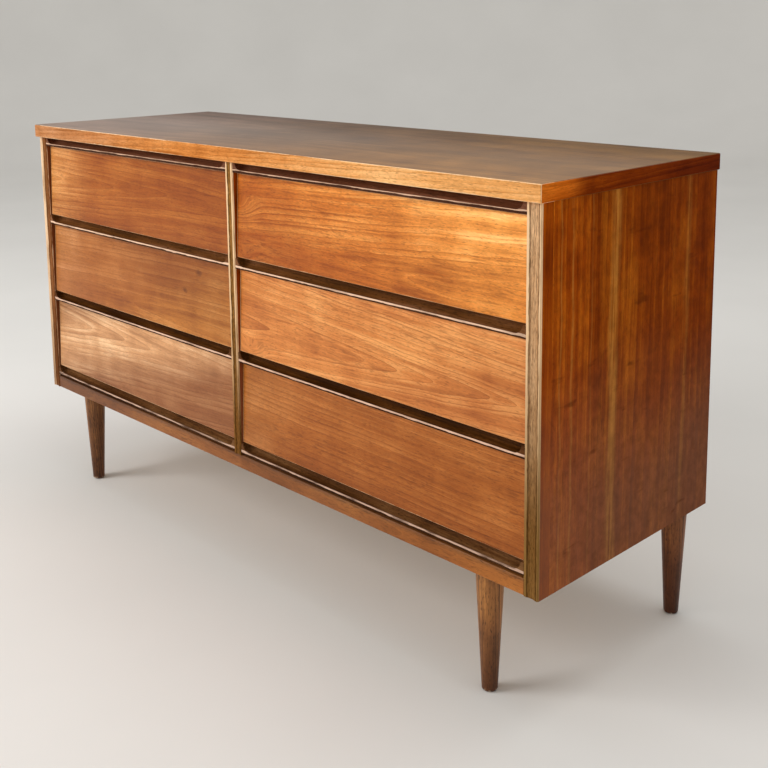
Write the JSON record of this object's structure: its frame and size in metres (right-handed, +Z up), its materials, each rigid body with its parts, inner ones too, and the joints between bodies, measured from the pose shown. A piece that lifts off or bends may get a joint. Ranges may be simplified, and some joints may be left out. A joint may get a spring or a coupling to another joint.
{
  "type": "dresser with drawers",
  "caption": "Low double dresser in walnut: two columns of inset leaning drawers over coved finger rails, slab top, and turned tapered legs.",
  "frame": {"origin": "on the floor, under the centre of the top", "axes": "+X to the dresser's right as seen from the front, +Y from the front to the back, +Z up"},
  "size_m": [1.372, 0.457, 0.78],
  "materials": {
    "walnut_veneer": "satin lacquered walnut veneer, figured, warm orange-brown",
    "walnut_solid": "solid walnut, satin lacquer worn pale on the arrises",
    "walnut_leg": "turned solid walnut, dark satin lacquer",
    "box_wood": "pale clear-sealed hardwood drawer boxes",
    "frame_wood": "unfinished secondary wood inside the case",
    "thin_panel": "thin plywood, sealed",
    "zinc_steel": "zinc-plated steel"
  },
  "bodies": {
    "case": {"back_panel": "thin_panel", "bottom_board": "frame_wood", "bottom_fascia": "walnut_solid", "centre_partition": "frame_wood", "centre_stile": "walnut_solid", "drawer_stops": "frame_wood", "front_legs": "walnut_leg", "left_bottom_rail": "walnut_solid", "left_drawer_runners": "frame_wood", "left_front_lipping": "walnut_solid", "left_lower_rail": "walnut_solid", "left_side_panel": "walnut_veneer", "left_top_rail": "walnut_solid", "left_upper_rail": "walnut_solid", "leg_bolts": "zinc_steel", "leg_plates": "zinc_steel", "rear_legs": "walnut_leg", "rear_rails": "frame_wood", "right_bottom_rail": "walnut_solid", "right_drawer_runners": "frame_wood", "right_front_lipping": "walnut_solid", "right_lower_rail": "walnut_solid", "right_side_panel": "walnut_veneer", "right_top_rail": "walnut_solid", "right_upper_rail": "walnut_solid", "top_board": "walnut_veneer", "top_front_lipping": "walnut_solid", "top_glue_blocks": "frame_wood"},
    "left_top_drawer": {"left_top_drawer_back": "box_wood", "left_top_drawer_bottom": "thin_panel", "left_top_drawer_front": "walnut_veneer", "left_top_drawer_left_side": "box_wood", "left_top_drawer_right_side": "box_wood"},
    "left_middle_drawer": {"left_middle_drawer_back": "box_wood", "left_middle_drawer_bottom": "thin_panel", "left_middle_drawer_front": "walnut_veneer", "left_middle_drawer_left_side": "box_wood", "left_middle_drawer_right_side": "box_wood"},
    "left_bottom_drawer": {"left_bottom_drawer_back": "box_wood", "left_bottom_drawer_bottom": "thin_panel", "left_bottom_drawer_front": "walnut_veneer", "left_bottom_drawer_left_side": "box_wood", "left_bottom_drawer_right_side": "box_wood"},
    "right_top_drawer": {"right_top_drawer_back": "box_wood", "right_top_drawer_bottom": "thin_panel", "right_top_drawer_front": "walnut_veneer", "right_top_drawer_left_side": "box_wood", "right_top_drawer_right_side": "box_wood"},
    "right_middle_drawer": {"right_middle_drawer_back": "box_wood", "right_middle_drawer_bottom": "thin_panel", "right_middle_drawer_front": "walnut_veneer", "right_middle_drawer_left_side": "box_wood", "right_middle_drawer_right_side": "box_wood"},
    "right_bottom_drawer": {"right_bottom_drawer_back": "box_wood", "right_bottom_drawer_bottom": "thin_panel", "right_bottom_drawer_front": "walnut_veneer", "right_bottom_drawer_left_side": "box_wood", "right_bottom_drawer_right_side": "box_wood"}
  },
  "joints": [
    {"name": "left_top_drawer_slide", "type": "slide", "parent": "case", "child": "left_top_drawer", "axis": [0, -1, 0], "range_m": [0, 0.3]},
    {"name": "left_middle_drawer_slide", "type": "slide", "parent": "case", "child": "left_middle_drawer", "axis": [0, -1, 0], "range_m": [0, 0.3]},
    {"name": "left_bottom_drawer_slide", "type": "slide", "parent": "case", "child": "left_bottom_drawer", "axis": [0, -1, 0], "range_m": [0, 0.3]},
    {"name": "right_top_drawer_slide", "type": "slide", "parent": "case", "child": "right_top_drawer", "axis": [0, -1, 0], "range_m": [0, 0.3]},
    {"name": "right_middle_drawer_slide", "type": "slide", "parent": "case", "child": "right_middle_drawer", "axis": [0, -1, 0], "range_m": [0, 0.3]},
    {"name": "right_bottom_drawer_slide", "type": "slide", "parent": "case", "child": "right_bottom_drawer", "axis": [0, -1, 0], "range_m": [0, 0.3]}
  ]
}
